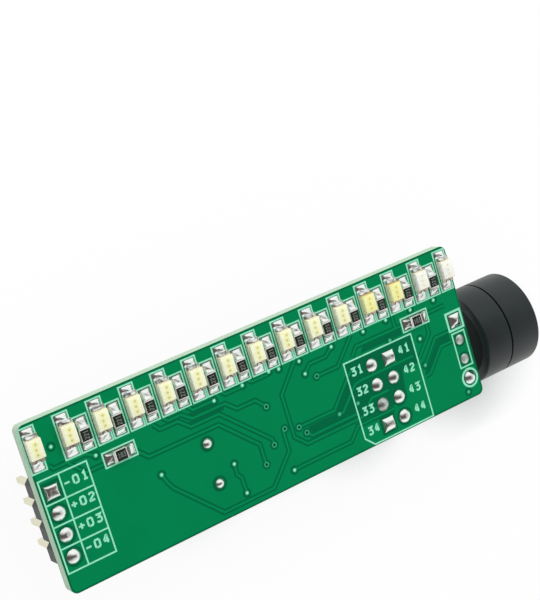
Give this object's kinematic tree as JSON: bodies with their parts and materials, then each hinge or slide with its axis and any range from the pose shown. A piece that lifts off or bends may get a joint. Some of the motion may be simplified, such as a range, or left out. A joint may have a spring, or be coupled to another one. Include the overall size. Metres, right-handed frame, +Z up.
{
  "type": "overcurrent alarm",
  "caption": "Slim green circuit board with a bar of chip lamps along its top edge, a round sounder lying at its end and pin headers below; it warns of too much current.",
  "frame": {"origin": "on the plane of the header pins' tips, under the middle of the whole outline", "axes": "+X along the board towards the sounder, +Y across the board towards the lamp row, +Z up, out of the lamp side"},
  "size_m": [0.0684, 0.0196, 0.012],
  "materials": {
    "green_masked_laminate": "glossy green solder mask over glass-fibre laminate, pale at the sawn edges",
    "tinned_copper": "levelled tin on copper, bright",
    "print_ink": "thin pale screen-printed ink",
    "lamp_resin": "cream casting resin over a white plate with plated ends",
    "resistor_overcoat": "black glaze between tinned end bands",
    "header_plastic": "moulded black glass-filled plastic",
    "plated_pins": "thin gold flash over brass",
    "crystal_steel": "drawn nickel-plated steel",
    "tinned_wire": "tinned wire and leads",
    "sounder_plastic": "moulded black plastic, satin",
    "sealing_resin": "cast black resin, glossy",
    "core_steel": "turned steel",
    "coil_wire": "enamelled copper wire",
    "ferrite_magnet": "pressed dark ferrite",
    "moulding_compound": "moulded black epoxy, fine matte",
    "capacitor_ceramic": "fired tan ceramic between tinned ends",
    "solder": "bright tin solder"
  },
  "bodies": {
    "root": {"circuit_board": "green_masked_laminate", "tinned_pads": "tinned_copper", "printed_lines": "print_ink", "lamp_01": "lamp_resin", "lamp_02": "lamp_resin", "lamp_03": "lamp_resin", "lamp_04": "lamp_resin", "lamp_05": "lamp_resin", "lamp_06": "lamp_resin", "lamp_07": "lamp_resin", "lamp_08": "lamp_resin", "lamp_09": "lamp_resin", "lamp_10": "lamp_resin", "lamp_11": "lamp_resin", "lamp_12": "lamp_resin", "lamp_13": "lamp_resin", "lamp_14": "lamp_resin", "lamp_15": "lamp_resin", "lamp_resistor_02": "resistor_overcoat", "lamp_resistor_03": "resistor_overcoat", "lamp_resistor_04": "resistor_overcoat", "lamp_resistor_05": "resistor_overcoat", "lamp_resistor_06": "resistor_overcoat", "lamp_resistor_07": "resistor_overcoat", "lamp_resistor_08": "resistor_overcoat", "lamp_resistor_09": "resistor_overcoat", "lamp_resistor_10": "resistor_overcoat", "lamp_resistor_11": "resistor_overcoat", "lamp_resistor_12": "resistor_overcoat", "lamp_resistor_13": "resistor_overcoat", "lamp_resistor_14": "resistor_overcoat", "left_resistor": "resistor_overcoat", "right_resistor": "resistor_overcoat", "shunt_resistor": "resistor_overcoat", "input_header": "header_plastic", "programming_header": "header_plastic", "input_pins": "plated_pins", "programming_pins": "plated_pins", "crystal_can": "crystal_steel", "crystal_base": "crystal_steel", "crystal_leads": "tinned_wire", "sounder_leads": "tinned_wire", "controller_leads": "tinned_wire", "amplifier_leads": "tinned_wire", "regulator_leads": "tinned_wire", "sounder_cap": "sounder_plastic", "sounder_base": "sounder_plastic", "sounder_resin": "sealing_resin", "sounder_core": "core_steel", "sounder_diaphragm": "core_steel", "sounder_coil": "coil_wire", "sounder_magnet": "ferrite_magnet", "controller_body": "moulding_compound", "amplifier_body": "moulding_compound", "regulator_body": "moulding_compound", "driver_transistor": "moulding_compound", "flyback_diode": "moulding_compound", "ceramic_capacitors": "capacitor_ceramic", "through_hole_solder": "solder", "surface_solder": "solder"}
  },
  "joints": []
}
